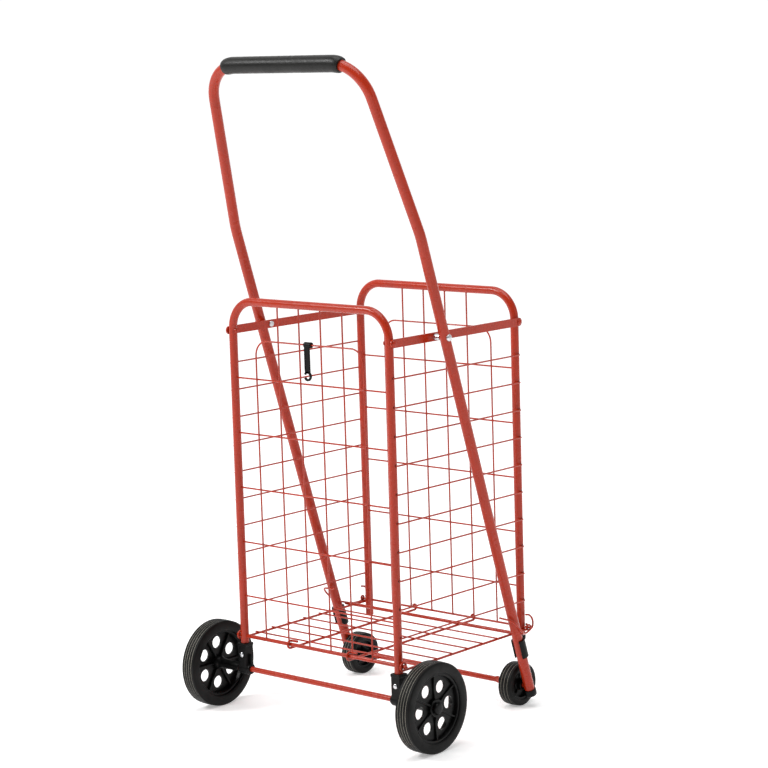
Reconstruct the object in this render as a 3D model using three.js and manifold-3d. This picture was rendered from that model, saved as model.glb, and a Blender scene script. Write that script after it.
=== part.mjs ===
// Rolling folding basket trolley, in millimetres, +Z up, +Y forwards, +X to the user's right.
// The origin is on the floor, under the middle of the bounding box.
// Two upright frames are joined by top links, side wires and a floor panel, which together are one
// parallelogram: it folds as the front frame swings up and back. The handle is pinned to the links.
import * as THREE from 'three';
import { mergeVertices } from 'three/addons/utils/BufferGeometryUtils.js';
import Module from 'manifold-3d';

const wasm = await Module();
wasm.setup();

// ---------- driving dimensions ----------
const REAR_Y = -111.3; // plane of the rear frame
const DEPTH = 272; // rear frame to front frame
const LEG_X = 148.5; // half distance between the leg axes
const LEG_R = 6; // frame tube radius
const WALL = 1; // wall of every tube
const TOP_Z = 603; // axis of the frames' top bars
const FRAME_BEND = 40; // corner radius of the frames
const FLOOR_Z = 112.5; // level of the floor panel's two hinge wires
const PITCH = 40; // spacing of the side wires
const SIDE_WIRES = 10;
const LINK_Z = 560; // level of the top links' pins
const PIVOT_ALONG = 85; // rear pin to handle pivot, along the link
const HANDLE_X = 175.5; // half distance between the handle's legs
const HANDLE_R = 7.5; // handle tube radius
const HANDLE_LEAN = THREE.MathUtils.degToRad(17.65);
const HANDLE_TOP = 395; // pivot to grip axis, along the handle
const KINK_UP = 150; // pivot to the kink where the legs turn inwards
const TAPER = THREE.MathUtils.degToRad(8); // how far they turn inwards
const HANDLE_BEND = 58; // corner radius at the grip
const GRIP_HALF = 108; // half length of the grip
const GRIP_R = 11.8;
const BIG_R = 63.5; // rear wheel radius
const BIG_X = 209.3; // middle of the rear wheel
const BIG_HALF = 9; // from there to the rear tyre's outer side
const BIG_INSET = 3; // the tyre's own middle is this much further in
const SMALL_R = 31.75; // front wheel radius
const SMALL_X = 153.9;
const SMALL_HALF = 11.2;
const AXLE_R = 4;
const WIRE_R = 1.2; // side wires and panel wires
const EDGE_R = 1.75; // floor panel's lengthwise wires
const CROSS_R = 2.75; // rear cross rod
const LOW_R = 1.6; // front frame's lowest wire
const ROD_R = 2.5; // floor panel's front rod
const PIN_R = 2.5; // link pins and handle pivots
const GAP = 0.35; // running clearance

const FRONT_Y = REAR_Y + DEPTH;
const WIRE_X = LEG_X + LEG_R + 3; // side wires run just outside the legs
const LINK_X = LEG_X + LEG_R + 0.6; // inner face of the top links
const LINK_THICK = 2.5;
const PIVOT_Y = REAR_Y + PIVOT_ALONG;
const holeZ = (k) => FLOOR_Z + PITCH * (SIDE_WIRES + 1 - k);
const AXLE_DOWN = (LINK_Z - SMALL_R) / Math.cos(HANDLE_LEAN); // pivot to front axle, along the handle

// ---------- materials ----------
const RED = new THREE.MeshStandardMaterial({ color: 0xc23a24, roughness: 0.32, metalness: 0.1 });
const BLACK = new THREE.MeshStandardMaterial({ color: 0x26262a, roughness: 0.5, metalness: 0 });
const TYRE = new THREE.MeshStandardMaterial({ color: 0x2a2a29, roughness: 0.8, metalness: 0 });
const FOAM = new THREE.MeshStandardMaterial({ color: 0x3b3b39, roughness: 0.9, metalness: 0 });
const STEEL = new THREE.MeshStandardMaterial({ color: 0xc9ccd0, roughness: 0.3, metalness: 1 });

// ---------- building blocks ----------
const v3 = (x, y, z) => new THREE.Vector3(x, y, z);

// A path through given knots that is sampled at those knots and nowhere else.
class KnotPath extends THREE.Curve {
  constructor(knots) {
    super();
    this.knots = knots;
  }
  getPoint(t, target = new THREE.Vector3()) {
    const at = THREE.MathUtils.clamp(t, 0, 1) * (this.knots.length - 1);
    const i = Math.min(Math.floor(at), this.knots.length - 2);
    return target.lerpVectors(this.knots[i], this.knots[i + 1], at - i);
  }
  getTangent(t, target = new THREE.Vector3()) {
    const last = this.knots.length - 1;
    const i = Math.round(THREE.MathUtils.clamp(t, 0, 1) * last);
    const before = this.knots[i].clone().sub(this.knots[Math.max(i - 1, 0)]).normalize();
    const after = this.knots[Math.min(i + 1, last)].clone().sub(this.knots[i]).normalize();
    return target.addVectors(before, after).normalize();
  }
  getUtoTmapping(u) {
    return u;
  }
}

// Knots of a bent wire: straight between its corners, with an arc at each inner corner. The radii and
// steps are one number, or a list with one for each inner corner.
function bend(corners, radii, stepCounts) {
  const knots = [corners[0]];
  for (let i = 1; i < corners.length - 1; i++) {
    const radius = Array.isArray(radii) ? radii[i - 1] : radii;
    const steps = Array.isArray(stepCounts) ? stepCounts[i - 1] : stepCounts;
    const back = corners[i - 1].clone().sub(corners[i]).normalize();
    const on = corners[i + 1].clone().sub(corners[i]).normalize();
    const half = back.angleTo(on) / 2;
    const reach = radius / Math.tan(half);
    const middle = back.clone().add(on).normalize();
    const centre = corners[i].clone().addScaledVector(middle, radius / Math.sin(half));
    const from = corners[i].clone().addScaledVector(back, reach).sub(centre);
    const to = corners[i].clone().addScaledVector(on, reach).sub(centre);
    const axis = from.clone().cross(to).normalize();
    for (let s = 0; s <= steps; s++) {
      const turn = from.angleTo(to) * (s / steps);
      knots.push(from.clone().applyAxisAngle(axis, turn).add(centre));
    }
  }
  knots.push(corners[corners.length - 1]);
  return knots;
}

// A regular polygon with the area of the circle, standing on a flat side.
function ring(radius, sides) {
  const out = radius * Math.sqrt((2 * Math.PI) / (sides * Math.sin((2 * Math.PI) / sides)));
  return Array.from({ length: sides }, (_, i) => {
    const a = ((i + 0.5) * 2 * Math.PI) / sides;
    return new THREE.Vector2(out * Math.cos(a), out * Math.sin(a));
  });
}

function sweep(knots, radius, sides, bore = 0) {
  const shape = new THREE.Shape(ring(radius, sides));
  if (bore) shape.holes.push(new THREE.Path(ring(bore, sides)));
  return new THREE.ExtrudeGeometry(shape, { steps: knots.length - 1, extrudePath: new KnotPath(knots) });
}

const wire = (a, b, radius, sides = 6) => sweep([a, b], radius, sides);

function tube(knots, radius) {
  return sweep(knots, radius, 8, radius - WALL);
}

// A round bar along X, with one flat side down.
function bar(x0, x1, y, z, radius, sides = 8) {
  return sweep([v3(x0, y, z), v3(x1, y, z)], radius, sides);
}

function box(x0, x1, y0, y1, z0, z1) {
  const g = new THREE.BoxGeometry(x1 - x0, y1 - y0, z1 - z0);
  return g.translate((x0 + x1) / 2, (y0 + y1) / 2, (z0 + z1) / 2);
}

// A turned piece about an axis along X through (y, z). The profile holds [x, radius] pairs, written
// for the right-hand side; the left-hand piece is the same piece turned round.
function turned(profile, side, y, z, sides) {
  const points = profile.map(([x, r]) => new THREE.Vector2(r, x));
  const g = new THREE.LatheGeometry(points, sides);
  g.rotateY(Math.PI / sides).rotateZ(-Math.PI / 2);
  if (side < 0) g.rotateZ(Math.PI);
  return g.translate(0, y, z);
}

function solid(geometry) {
  const g = geometry.clone();
  g.deleteAttribute('normal');
  g.deleteAttribute('uv');
  const merged = mergeVertices(g, 1e-4);
  const corners = merged.index.array;
  const kept = [];
  for (let i = 0; i < corners.length; i += 3) {
    const [a, b, c] = corners.slice(i, i + 3);
    if (a !== b && b !== c && c !== a) kept.push(a, b, c);
  }
  return new wasm.Manifold(new wasm.Mesh({
    numProp: 3,
    vertProperties: new Float32Array(merged.attributes.position.array),
    triVerts: new Uint32Array(kept),
  }));
}

const joined = (geometries) => geometries.map(solid).reduce((a, b) => a.add(b));
const cut = (body, geometries) => geometries.map(solid).reduce((a, b) => a.subtract(b), body);

function shell(manifold) {
  const m = manifold.getMesh();
  const g = new THREE.BufferGeometry();
  g.setAttribute('position', new THREE.BufferAttribute(new Float32Array(m.vertProperties), 3));
  g.setIndex(new THREE.BufferAttribute(new Uint32Array(m.triVerts), 1));
  return g;
}

const trolley = new THREE.Group();
const SIDES = [['left', -1], ['right', 1]];

function add(name, shape, material, group = trolley) {
  const geometry = shape.isBufferGeometry ? shape : shell(shape);
  const mesh = new THREE.Mesh(geometry, material);
  mesh.name = name;
  group.add(mesh);
}

// ---------- frames ----------
function frameTube(y, leftFoot, rightFoot, lowHoleR) {
  const corners = [
    v3(-LEG_X, y, leftFoot), v3(-LEG_X, y, TOP_Z), v3(LEG_X, y, TOP_Z), v3(LEG_X, y, rightFoot),
  ];
  const holes = [];
  for (const [, side] of SIDES) {
    for (let k = 1; k <= SIDE_WIRES; k++) {
      holes.push(bar(side * (LEG_X + 3), side * (LEG_X + 8), y, holeZ(k), WIRE_R + 0.5, 6));
    }
    holes.push(bar(side * (LEG_X - 8), side * (LEG_X + 8), y, LINK_Z, PIN_R + GAP));
    holes.push(bar(side * (LEG_X - 8), side * (LEG_X + 8), y, FLOOR_Z, lowHoleR + GAP));
  }
  return cut(solid(tube(bend(corners, FRAME_BEND, 5), LEG_R)), holes);
}

// Wires of one frame's panel: cross wires between the legs, inner uprights on the basket's side,
// and one upside-down U on the outer side.
const UPRIGHTS = [-61.5, -20.5, 20.5, 61.5];
const U_X = 102.5;
const U_Z = 548.5;
const U_BEND = 22;
const LAP = 1.9; // distance between the planes of crossing wires, less than their two radii

function panelWires(y, inward) {
  const wires = [];
  const reach = LEG_X - LEG_R - 0.5;
  for (let k = 1.5; k < SIDE_WIRES; k += 2) {
    wires.push(wire(v3(-reach, y, holeZ(k)), v3(reach, y, holeZ(k)), WIRE_R));
  }
  const inner = y + inward * LAP;
  for (const x of UPRIGHTS) {
    wires.push(wire(v3(x, inner, FLOOR_Z - 0.5), v3(x, inner, TOP_Z - LEG_R - 0.5), WIRE_R));
  }
  const outer = y - inward * LAP;
  const arch = [
    v3(-U_X, outer, FLOOR_Z - 0.5), v3(-U_X, outer, U_Z),
    v3(U_X, outer, U_Z), v3(U_X, outer, FLOOR_Z - 0.5),
  ];
  wires.push(sweep(bend(arch, U_BEND, 3), WIRE_R, 6));
  return wires;
}

const REAR_REACH = 163; // half lengths of the two low wires, which stick out of the legs
const FRONT_REACH = 166;
const SOCKET_Z = 76; // the rear legs' feet stand here, inside the brackets
const SOLE_Z = { left: 88, right: 92 }; // the plugs under the front legs end here
const PLUG_HEAD = { left: 1, right: 9 }; // the left plug is pushed right in

const RIVET_Z = 85;
const RIVET_R = 2;
const rivetHole = (side) => wire(
  v3(side * LEG_X, REAR_Y - 12, RIVET_Z), v3(side * LEG_X, REAR_Y, RIVET_Z), RIVET_R + GAP, 8);

const rearTube = frameTube(REAR_Y, SOCKET_Z, SOCKET_Z, CROSS_R);
add('rear_frame_tube', cut(rearTube, [rivetHole(-1), rivetHole(1)]), RED);
add('rear_panel_grid', joined([
  bar(-REAR_REACH, REAR_REACH, REAR_Y, FLOOR_Z, CROSS_R), ...panelWires(REAR_Y, 1),
]), RED);
add('front_frame_tube',
  frameTube(FRONT_Y, SOLE_Z.left + PLUG_HEAD.left, SOLE_Z.right + PLUG_HEAD.right, LOW_R), RED);
add('front_panel_grid', joined([
  bar(-FRONT_REACH, FRONT_REACH, FRONT_Y, FLOOR_Z, LOW_R), ...panelWires(FRONT_Y, -1),
]), RED);

// ---------- rear axle, its brackets and the front legs' plugs ----------
const SOCKET = 8; // half width of the bracket's socket
const SOCKET_TOP = 102;
const BOSS_R = 8.6;
const BOSS_IN = 12; // how far the axle boss reaches inwards from the leg axis

for (const [hand, side] of SIDES) {
  const x = side * LEG_X;
  const body = joined([
    box(x - SOCKET, x + SOCKET, REAR_Y - SOCKET, REAR_Y + SOCKET, BIG_R, SOCKET_TOP),
    bar(x - side * BOSS_IN, x + side * SOCKET, REAR_Y, BIG_R, BOSS_R, 12),
  ]);
  const socket = wire(v3(x, REAR_Y, SOCKET_Z - GAP), v3(x, REAR_Y, SOCKET_TOP + 1), LEG_R + GAP, 8);
  const axleHole = bar(x - 20, x + 20, REAR_Y, BIG_R, AXLE_R + GAP);
  add(`axle_bracket_${hand}`, cut(body, [socket, axleHole, rivetHole(side)]), BLACK);

  const rivet = new THREE.LatheGeometry([
    [0, 0], [RIVET_R, 0], [RIVET_R, 7.3], [3.6, 7.3], [2.6, 8.8], [0, 9.2],
  ].map(([r, out]) => new THREE.Vector2(r, out)), 8);
  rivet.rotateX(Math.PI).translate(x, REAR_Y - 1, RIVET_Z);
  add(`bracket_rivet_${hand}`, rivet, STEEL);

  const head = PLUG_HEAD[hand];
  const plug = new THREE.LatheGeometry([
    [0, -head], [5.4, -head], [6.7, -head * 0.8], [6.7, -GAP], [4.4, -GAP], [4.4, 8], [0, 8],
  ].map(([r, up]) => new THREE.Vector2(r, up)), 8);
  plug.rotateX(Math.PI / 2).translate(x, FRONT_Y, SOLE_Z[hand] + head);
  add(`foot_plug_${hand}`, plug, BLACK);
}

add('rear_axle', bar(-BIG_X - 6.5, BIG_X + 6.5, REAR_Y, BIG_R, AXLE_R), RED);

// ---------- wheels ----------
function tyre(x, halfWidth, outer, inner, sides) {
  const shoulder = halfWidth - 2;
  const flatR = outer / Math.cos(Math.PI / sides);
  return [
    [x - shoulder, inner], [x - halfWidth, inner + 3], [x - halfWidth, flatR - 3], [x - shoulder, flatR],
    [x + shoulder, flatR], [x + halfWidth, flatR - 3], [x + halfWidth, inner + 3], [x + shoulder, inner],
    [x - shoulder, inner],
  ];
}

const RIM_R = 49; // big tyre sits on this rim
const WEB_IN = 45.5; // inner face of the big hub's rim
const HUB_R = 13;
const HUB_IN = 50; // the hub's sleeve reaches this far inwards, nearly to the bracket
const WEB_HOLE_R = 8.8;
const WEB_HOLE_AT = 30; // radius of the circle of holes
const WEB_HALF = 1.7;
const SPOKES = 6;
const RIGHT_TURN = THREE.MathUtils.degToRad(-28); // how far the right wheel stands turned from the left one

function bigHub(side, y, z) {
  const sides = 24;
  const rimHalf = BIG_HALF - 2 - GAP;
  const parts = [
    turned([
      [-rimHalf, WEB_IN], [-rimHalf, RIM_R - GAP], [rimHalf, RIM_R - GAP], [rimHalf, WEB_IN],
      [-rimHalf, WEB_IN],
    ], 1, 0, 0, sides),
    turned([[-WEB_HALF, 0], [-WEB_HALF, WEB_IN + 1], [WEB_HALF, WEB_IN + 1], [WEB_HALF, 0]], 1, 0, 0, sides),
    turned([[-HUB_IN, 0], [-HUB_IN, 6.8], [-12, 7.4], [-9, 10.5], [7, HUB_R], [7, 0]], 1, 0, 0, 12),
  ];
  for (let i = 0; i < SPOKES; i++) {
    const rib = box(-5, 5, HUB_R - 2, WEB_IN + 1, -1.3, 1.3);
    parts.push(rib.rotateX((i * 2 * Math.PI) / SPOKES));
  }
  const holes = [bar(-HUB_IN - 1, 20, 0, 0, AXLE_R + 0.7)];
  for (let i = 0; i < SPOKES; i++) {
    const a = ((i + 0.5) * 2 * Math.PI) / SPOKES;
    holes.push(bar(-6, 6, WEB_HOLE_AT * Math.cos(a), WEB_HOLE_AT * Math.sin(a), WEB_HOLE_R, 10));
  }
  const hub = shell(cut(joined(parts), holes));
  if (side < 0) hub.rotateZ(Math.PI);
  else hub.rotateX(RIGHT_TURN);
  return hub.translate(side * BIG_X, y, z);
}

for (const [hand, side] of SIDES) {
  const ringProfile = tyre(BIG_X - BIG_INSET, BIG_HALF + BIG_INSET, BIG_R, RIM_R, 24);
  add(`rear_tyre_${hand}`, turned(ringProfile, side, REAR_Y, BIG_R, 24), TYRE);
  add(`rear_hub_${hand}`, bigHub(side, REAR_Y, BIG_R), BLACK);
  const cap = turned([
    [BIG_X + 7.4, 0], [BIG_X + 7.4, 8.5], [BIG_X + 10.5, 8.5], [BIG_X + 11.7, 6.5], [BIG_X + 11.7, 0],
  ], side, REAR_Y, BIG_R, 8);
  add(`rear_axle_cap_${hand}`, cap, BLACK);
}

// ---------- top links and their pins ----------
const LINK_HALF = 6; // half width of the flat bar

function linkBar(side) {
  const shape = new THREE.Shape();
  shape.absarc(DEPTH, 0, LINK_HALF, -Math.PI / 2, Math.PI / 2);
  shape.absarc(0, 0, LINK_HALF, Math.PI / 2, (3 * Math.PI) / 2);
  for (const along of [0, PIVOT_ALONG, DEPTH]) {
    const hole = ring(PIN_R + GAP, 8).map((p) => new THREE.Vector2(p.x + along, p.y));
    shape.holes.push(new THREE.Path(hole));
  }
  const g = new THREE.ExtrudeGeometry(shape, { depth: LINK_THICK, bevelEnabled: false, curveSegments: 5 });
  g.rotateX(Math.PI / 2).rotateZ(Math.PI / 2);
  return g.translate(side > 0 ? LINK_X : -LINK_X - LINK_THICK, REAR_Y, LINK_Z);
}

const PIN_OUT = LINK_X + LINK_THICK + 0.4;
const pinProfile = [
  [LEG_X - LEG_R - 2, 0], [LEG_X - LEG_R - 2, 4], [LEG_X - LEG_R - 0.4, 4], [LEG_X - LEG_R - 0.4, PIN_R],
  [PIN_OUT, PIN_R], [PIN_OUT, 4.6], [PIN_OUT + 1.4, 4], [PIN_OUT + 2.3, 2], [PIN_OUT + 2.3, 0],
];
const HEAD_OUT = HANDLE_X + HANDLE_R + 0.2;
const pivotProfile = [
  [LINK_X - 2, 0], [LINK_X - 2, 4.5], [LINK_X - 0.4, 4.5], [LINK_X - 0.4, PIN_R],
  [PIN_OUT, PIN_R], [PIN_OUT, 4.5], [HANDLE_X - HANDLE_R - 0.3, 4.5], [HANDLE_X - HANDLE_R - 0.3, PIN_R],
  [HEAD_OUT, PIN_R], [HEAD_OUT, 5], [HEAD_OUT + 1.4, 4.3], [HEAD_OUT + 2.4, 2.2], [HEAD_OUT + 2.4, 0],
];
for (const [hand, side] of SIDES) {
  add(`top_link_${hand}`, linkBar(side), RED);
  add(`rear_link_pin_${hand}`, turned(pinProfile, side, REAR_Y, LINK_Z, 8), RED);
  add(`front_link_pin_${hand}`, turned(pinProfile, side, FRONT_Y, LINK_Z, 8), RED);
  add(`handle_pivot_${hand}`, turned(pivotProfile, side, PIVOT_Y, LINK_Z, 8), STEEL);
}

// ---------- side wires ----------
for (const [hand, side] of SIDES) {
  for (let k = 1; k <= SIDE_WIRES; k++) {
    const z = holeZ(k);
    const inside = side * (LEG_X + 1);
    const path = bend([
      v3(inside, REAR_Y, z), v3(side * WIRE_X, REAR_Y, z),
      v3(side * WIRE_X, FRONT_Y, z), v3(inside, FRONT_Y, z),
    ], 2.5, 2);
    add(`side_wire_${hand}_${String(k).padStart(2, '0')}`, sweep(path, WIRE_R, 6), RED);
  }
}

// ---------- floor panel ----------
const EDGE_X = LEG_X + LEG_R + EDGE_R + 0.75; // outer lengthwise wires, outside the legs
const INNER_X = 57;
const SPACING = DEPTH / 8; // between the panel's cross wires
const LOOSE = 0.8; // the panel's wire loops sit loosely
const EYE_R = CROSS_R + EDGE_R + LOOSE; // loop round the rear cross rod
const HOOK_R = LOW_R + EDGE_R + LOOSE; // loop round the front frame's lowest wire
const EDGE_Z = FLOOR_Z - EYE_R; // the lengthwise wires leave the loops at the bottom
const ROD_END = 166; // half length of the front rod

// Knots of an arc about an axis along X, from one angle to another, measured from +Y towards +Z.
function arc(x, y, z, radius, from, to, steps) {
  return Array.from({ length: steps + 1 }, (_, i) => {
    const a = THREE.MathUtils.degToRad(from + ((to - from) * i) / steps);
    return v3(x, y + radius * Math.cos(a), z + radius * Math.sin(a));
  });
}

function floorPanel() {
  const wires = [];
  const rodY = REAR_Y + 7 * SPACING;
  for (const [, side] of SIDES) {
    const edge = side * EDGE_X;
    const eye = arc(edge, REAR_Y, FLOOR_Z, EYE_R, -360, -90, 8);
    const clasp = arc(edge, FRONT_Y, FLOOR_Z, HOOK_R, -90, 60, 4);
    wires.push(sweep([...eye, ...clasp], EDGE_R, 6));
    const inner = side * INNER_X;
    const loop = arc(inner, REAR_Y, FLOOR_Z, EYE_R, -360, -90, 8);
    const hook = arc(inner, FRONT_Y, FLOOR_Z, HOOK_R, -90, 120, 6);
    wires.push(sweep([...loop, ...hook], EDGE_R, 6));
  }
  const crossZ = EDGE_Z + EDGE_R + WIRE_R - 0.4;
  const crossReach = EDGE_X + 2.5;
  for (let i = 1; i <= 6; i++) {
    const y = REAR_Y + i * SPACING;
    wires.push(wire(v3(-crossReach, y, crossZ), v3(crossReach, y, crossZ), WIRE_R));
  }
  const rodZ = EDGE_Z + EDGE_R + ROD_R - 0.5;
  wires.push(bar(-ROD_END, ROD_END, rodY, rodZ, ROD_R));
  return joined(wires);
}

add('bottom_panel_grid', floorPanel(), RED);

// ---------- handle, drawn upright about its pivot and then leant back ----------
const handle = new THREE.Group();
handle.position.set(0, PIVOT_Y, LINK_Z);
handle.rotation.x = HANDLE_LEAN;
trolley.add(handle);

const LEG_END = AXLE_DOWN + 12;
const TOP_X = HANDLE_X - (HANDLE_TOP - KINK_UP) * Math.tan(TAPER);
const KINK_BEND = 150;
const handlePath = bend([
  v3(-HANDLE_X, 0, -LEG_END), v3(-HANDLE_X, 0, KINK_UP), v3(-TOP_X, 0, HANDLE_TOP),
  v3(TOP_X, 0, HANDLE_TOP), v3(HANDLE_X, 0, KINK_UP), v3(HANDLE_X, 0, -LEG_END),
], [KINK_BEND, HANDLE_BEND, HANDLE_BEND, KINK_BEND], [2, 5, 5, 2]);

const handleHoles = SIDES.flatMap(([, side]) => [
  bar(side * (HANDLE_X - 10), side * (HANDLE_X + 10), 0, 0, PIN_R + GAP),
  bar(side * (HANDLE_X - 10), side * HANDLE_X, 0, -AXLE_DOWN, AXLE_R + GAP),
]);
add('handle_tube', cut(solid(tube(handlePath, HANDLE_R)), handleHoles), RED, handle);

const gripPath = handlePath.filter((p) => Math.abs(p.x) <= GRIP_HALF && p.z > KINK_UP);
const gripShape = new THREE.Shape(ring(GRIP_R, 12));
gripShape.holes.push(new THREE.Path(ring(HANDLE_R + 0.4, 8)));
add('handle_grip', new THREE.ExtrudeGeometry(gripShape, {
  steps: gripPath.length - 1, extrudePath: new KnotPath(gripPath),
}), FOAM, handle);

// Seat clips: sleeves snapped on the legs, open at the back. The floor panel's rod rests on their tops.
const CLIP_TOP = -477.3;
const CLIP_LENGTH = 28;
const CLIP_OUT = 10.3;
const CLIP_IN = 8.3;
const CLIP_MOUTH = THREE.MathUtils.degToRad(46); // half angle of the opening

function seatClip() {
  const from = -Math.PI / 2 + CLIP_MOUTH;
  const to = (3 * Math.PI) / 2 - CLIP_MOUTH;
  const steps = 9;
  const rim = (radius) => Array.from({ length: steps + 1 }, (_, i) => {
    const a = from + ((to - from) * i) / steps;
    return new THREE.Vector2(radius * Math.cos(a), radius * Math.sin(a));
  });
  const outline = new THREE.Shape([...rim(CLIP_OUT), ...rim(CLIP_IN).reverse()]);
  return new THREE.ExtrudeGeometry(outline, { depth: CLIP_LENGTH, bevelEnabled: false });
}

for (const [hand, side] of SIDES) {
  const clip = seatClip().translate(side * HANDLE_X, 0, CLIP_TOP - CLIP_LENGTH);
  add(`seat_clip_${hand}`, clip, BLACK, handle);

  const cap = new THREE.LatheGeometry([
    [0, -4], [8, -4], [9.2, -2.5], [9.2, 7], [8.3, 7], [8.3, -GAP], [0, -GAP],
  ].map(([r, up]) => new THREE.Vector2(r, up)), 12);
  cap.rotateX(Math.PI / 2).translate(side * HANDLE_X, 0, -LEG_END);
  add(`handle_end_cap_${hand}`, cap, BLACK, handle);
}

// ---------- front axle and wheels, carried by the handle's feet ----------
const SMALL_Y = PIVOT_Y + AXLE_DOWN * Math.sin(HANDLE_LEAN);
const SMALL_RIM = 22;
const HUB_SLEEVE = 30; // the hub's inner sleeve reaches this far in from the wheel's middle plane
const COLLAR_X = SMALL_X - HUB_SLEEVE - 5; // the axle is crimped at the sleeve's end
add('front_axle', joined([
  bar(-HANDLE_X - 2.5, HANDLE_X + 2.5, 0, -AXLE_DOWN, AXLE_R),
  ...SIDES.map(([, side]) => box(
    side * COLLAR_X - 1.2, side * COLLAR_X + 1.2, -2.5, 2.5, -AXLE_DOWN - 6.5, -AXLE_DOWN + 6.5)),
]), RED, handle);

for (const [hand, side] of SIDES) {
  const profile = tyre(SMALL_X, SMALL_HALF, SMALL_R, SMALL_RIM, 20);
  add(`front_tyre_${hand}`, turned(profile, side, SMALL_Y, SMALL_R, 20), TYRE);
  const bore = AXLE_R + 0.6;
  const boss = 8;
  const rim = SMALL_RIM - GAP;
  const disc = 5;
  const reach = SMALL_HALF + 1.2;
  const neck = 6.5;
  add(`front_hub_${hand}`, turned([
    [SMALL_X - HUB_SLEEVE, bore], [SMALL_X - HUB_SLEEVE, neck], [SMALL_X - reach, neck],
    [SMALL_X - reach, boss], [SMALL_X - disc, boss], [SMALL_X - disc, rim],
    [SMALL_X + disc, rim], [SMALL_X + disc, boss], [SMALL_X + reach, boss], [SMALL_X + reach, bore],
    [SMALL_X - HUB_SLEEVE, bore],
  ], side, SMALL_Y, SMALL_R, 20), BLACK);
}

// ---------- lock hooks: a finger bow, one coil round the low wire, and an arm past the handle leg ----------
const HOOK_WIRE_R = 1.4;
const COIL_R = 3.7;
const COIL_X = 160.9;
const COIL_PITCH = 3.4;

function hookPath(side) {
  const at = (x, forward, up) => v3(side * x, FRONT_Y + forward, FLOOR_Z + up);
  const turns = 10;
  const coil = Array.from({ length: turns + 1 }, (_, i) => {
    const a = -Math.PI / 2 - (i * 2 * Math.PI) / turns;
    return at(COIL_X + (COIL_PITCH * i) / turns, COIL_R * Math.cos(a), COIL_R * Math.sin(a));
  });
  return [
    at(COIL_X, -3.5, 19.5), at(COIL_X, 3.5, 17.6), at(COIL_X, 9.8, 12), at(COIL_X, 12.54, 5),
    at(COIL_X, 10.5, -1.5), at(COIL_X, 5.5, -4.2),
    ...coil,
    at(165.6, -6.5, -5), at(168.5, -17, -5), at(174.5, -28, -2.5), at(181, -36.5, 0.5), at(186, -43.5, 5),
    at(186.5, -50, 10.5), at(186.5, -55.5, 16), at(186.5, -59.5, 21.5),
  ];
}
for (const [hand, side] of SIDES) {
  add(`lock_hook_${hand}`, sweep(hookPath(side), HOOK_WIRE_R, 6), RED);
}

// ---------- storage clip, hanging on the rear panel's U wire ----------
const CLIP_Y = REAR_Y - LAP;
const CLIP_HALF = 6.5;
const C_Z = 505;
const along = (y0, y1, x, z, radius) => wire(v3(x, y0, z), v3(x, y1, z), radius, 12);

const clipBody = joined([
  bar(-CLIP_HALF, CLIP_HALF, CLIP_Y, U_Z, 4.2, 12),
  box(-4.6, 4.6, CLIP_Y - 4, CLIP_Y - 1.6, C_Z + 4, U_Z),
  along(CLIP_Y - 4, CLIP_Y - 1.6, 0, C_Z, 7),
]);
add('storage_clip', cut(clipBody, [
  bar(-CLIP_HALF - 1, CLIP_HALF + 1, CLIP_Y, U_Z, WIRE_R + GAP + 0.2, 8),
  along(CLIP_Y - 6, CLIP_Y, 0, C_Z, 4),
  box(-12, -2, CLIP_Y - 6, CLIP_Y, C_Z - 2.6, C_Z + 2.6),
]), BLACK);

export default trolley;
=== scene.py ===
"""Looks of the folding basket trolley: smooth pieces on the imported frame, materials, camera and light."""

import math

import bmesh
import bpy
from mathutils import Matrix, Vector
from mathutils.geometry import tessellate_polygon


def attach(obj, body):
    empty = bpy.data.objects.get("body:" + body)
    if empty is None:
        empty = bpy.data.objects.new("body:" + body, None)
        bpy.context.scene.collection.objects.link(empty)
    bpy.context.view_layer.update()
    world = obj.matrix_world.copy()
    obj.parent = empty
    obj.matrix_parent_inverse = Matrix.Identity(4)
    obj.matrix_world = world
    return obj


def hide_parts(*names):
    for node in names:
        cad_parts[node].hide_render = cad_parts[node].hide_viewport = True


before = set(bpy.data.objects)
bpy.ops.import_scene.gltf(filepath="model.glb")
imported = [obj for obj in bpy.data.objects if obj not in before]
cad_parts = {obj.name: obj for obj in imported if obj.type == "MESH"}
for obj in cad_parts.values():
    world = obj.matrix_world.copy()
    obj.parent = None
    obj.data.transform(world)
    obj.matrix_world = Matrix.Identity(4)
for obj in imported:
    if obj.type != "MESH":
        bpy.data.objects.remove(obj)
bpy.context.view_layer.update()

MM = 0.001

# ---------- dimensions, the same as the frame's, in millimetres ----------
REAR_Y = -111.3
DEPTH = 272.0
FRONT_Y = REAR_Y + DEPTH
LEG_X = 148.5
LEG_R = 6.0
TOP_Z = 603.0
FRAME_BEND = 40.0
FLOOR_Z = 112.5
PITCH = 40.0
SIDE_WIRES = 10
LINK_Z = 560.0
PIVOT_Y = REAR_Y + 85.0
HANDLE_X = 175.5
HANDLE_R = 7.5
LEAN = math.radians(17.65)
HANDLE_TOP = 395.0
KINK_UP = 150.0
TAPER = math.radians(8.0)
GRIP_HALF = 108.0
BIG_R = 63.5
BIG_X = 209.3
BIG_TYRE_X = BIG_X - 3.0
BIG_TYRE_HALF = 12.0
BIG_GROOVES = 4
BIG_CROWN = 0.5
SMALL_R = 31.75
SMALL_X = 153.9
SMALL_TYRE_HALF = 11.2
SMALL_GROOVES = 3
SMALL_CROWN = 0.9
SHOULDER = 1.4
TREAD_SHARE = 0.86
AXLE_R = 4.0
WIRE_R = 1.2
EDGE_R = 1.75
CROSS_R = 2.75
LOW_R = 1.6
ROD_R = 2.5
LINK_X = LEG_X + LEG_R + 0.6
WIRE_X = LEG_X + LEG_R + 3.0
LAP = 1.9
AXLE_DOWN = (LINK_Z - SMALL_R) / math.cos(LEAN)
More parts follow.
